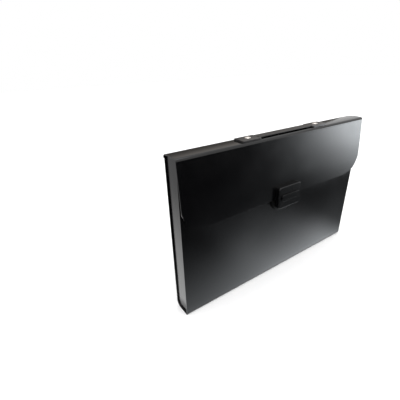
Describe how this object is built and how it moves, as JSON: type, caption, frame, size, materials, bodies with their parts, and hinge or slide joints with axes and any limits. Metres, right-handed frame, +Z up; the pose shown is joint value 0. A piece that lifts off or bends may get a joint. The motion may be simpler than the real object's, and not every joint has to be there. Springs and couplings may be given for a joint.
{
  "type": "document case",
  "caption": "Slim upright document file of folded black plastic sheet, with an arched top and carrying handle, a front flap that hinges open and a push-button clasp.",
  "frame": {"origin": "middle of the case's bottom face", "axes": "+X along the width to the right as seen from the front, +Y to the back, +Z up"},
  "size_m": [0.362, 0.0407, 0.2316],
  "materials": {
    "sheet": "glossy black polypropylene sheet",
    "handle": "satin dark grey moulding",
    "clasp": "glossy black moulding",
    "rivet": "polished",
    "washer": "plain steel"
  },
  "bodies": {
    "case": {"back_panel": "sheet", "bottom_panel": "sheet", "front_panel": "sheet", "left_side_wall": "sheet", "right_side_wall": "sheet", "keeper_housing": "clasp", "keeper_plate": "clasp", "left_keeper_rivet": "clasp", "right_keeper_rivet": "clasp"},
    "lid": {"top_panel": "sheet", "handle_strap": "handle", "left_handle_washer": "washer", "right_handle_washer": "washer", "left_handle_rivet": "rivet", "right_handle_rivet": "rivet"},
    "flap": {"closing_flap": "sheet", "latch_cover": "clasp", "latch_plate": "clasp", "left_latch_rivet": "clasp", "right_latch_rivet": "clasp"},
    "button": {"release_button": "clasp"}
  },
  "joints": [
    {"name": "lid_hinge", "type": "hinge", "parent": "case", "child": "lid", "pos_m": [0, 0.0135, 0.222], "axis": [-1, 0, 0], "range_deg": [0, 165]},
    {"name": "flap_hinge", "type": "hinge", "parent": "lid", "child": "flap", "pos_m": [0, -0.0151, 0.222], "axis": [-1, 0, 0], "range_deg": [0, 175]},
    {"name": "button_press", "type": "slide", "parent": "flap", "child": "button", "axis": [0, 0.9994, -0.0349], "range_m": [0, 0.0016], "stiffness_N_per_m": 1500}
  ]
}
